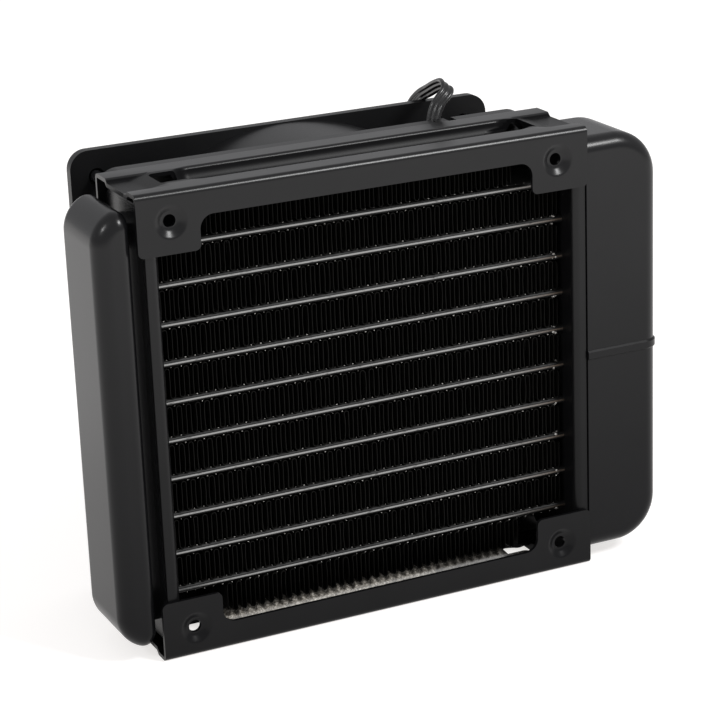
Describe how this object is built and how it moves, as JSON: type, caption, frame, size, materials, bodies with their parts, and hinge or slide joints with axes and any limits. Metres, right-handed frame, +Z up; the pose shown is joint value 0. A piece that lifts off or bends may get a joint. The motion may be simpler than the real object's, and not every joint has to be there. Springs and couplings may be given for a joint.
{
  "type": "liquid cooling radiator",
  "caption": "Flat-tube liquid cooling radiator with two end tanks and tapped coolant ports, framed by side channels, carrying a square axial fan with a flat lead.",
  "frame": {"origin": "bottom centre of the object without its free lead", "axes": "+Z up, -Y the open front of the core, +X towards the tank with the ports"},
  "size_m": [0.1552, 0.1131, 0.1312],
  "materials": {
    "black_sheet": "satin black paint",
    "black_tank": "semi-gloss black paint",
    "tube_aluminium": "thin black paint over bare noses",
    "fin_black": "matte black coat",
    "fan_plastic": "fine moulded grain",
    "impeller_plastic": "satin",
    "bare_steel": "bare",
    "port_brass": "turned",
    "magnet_black": "bonded magnet",
    "copper_winding": "enamelled wire",
    "board_green": "solder mask",
    "disc_foil": "blank foil disc",
    "screw_black": "black zinc",
    "lead_sleeve": "satin sleeve",
    "connector_nylon": "moulded nylon"
  },
  "bodies": {
    "radiator": {"bearing_cap": "fan_plastic", "bottom_side_channel": "black_sheet", "cable_coil": "lead_sleeve", "cable_connector": "connector_nylon", "cable_tail": "lead_sleeve", "cable_tie": "connector_nylon", "fan_cable": "lead_sleeve", "fan_circuit_board": "board_green", "fan_duct": "fan_plastic", "fan_front_flange": "fan_plastic", "fan_motor_mount": "fan_plastic", "fan_rear_flange": "fan_plastic", "fan_screws": "screw_black", "fin_strip_01": "fin_black", "fin_strip_02": "fin_black", "fin_strip_03": "fin_black", "fin_strip_04": "fin_black", "fin_strip_05": "fin_black", "fin_strip_06": "fin_black", "fin_strip_07": "fin_black", "fin_strip_08": "fin_black", "fin_strip_09": "fin_black", "fin_strip_10": "fin_black", "fin_strip_11": "fin_black", "flat_tube_01": "tube_aluminium", "flat_tube_02": "tube_aluminium", "flat_tube_03": "tube_aluminium", "flat_tube_04": "tube_aluminium", "flat_tube_05": "tube_aluminium", "flat_tube_06": "tube_aluminium", "flat_tube_07": "tube_aluminium", "flat_tube_08": "tube_aluminium", "flat_tube_09": "tube_aluminium", "flat_tube_10": "tube_aluminium", "hub_disc": "disc_foil", "inlet_port_bush": "port_brass", "left_header_plate": "black_sheet", "left_tank": "black_tank", "outlet_port_bush": "port_brass", "right_header_plate": "black_sheet", "right_tank": "black_tank", "shaft_bearing": "port_brass", "stator_coils": "copper_winding", "stator_core": "bare_steel", "strut_lead": "lead_sleeve", "tank_divider": "bare_steel", "top_side_channel": "black_sheet"},
    "rotor": {"impeller": "impeller_plastic", "rotor_yoke": "bare_steel", "magnet_ring": "magnet_black", "rotor_shaft": "bare_steel", "retaining_clip": "bare_steel"}
  },
  "joints": [
    {"name": "fan_spin", "type": "hinge", "parent": "radiator", "child": "rotor", "pos_m": [-0.0059, 0.0139, 0.06], "axis": [0, 1, 0], "continuous": true}
  ]
}
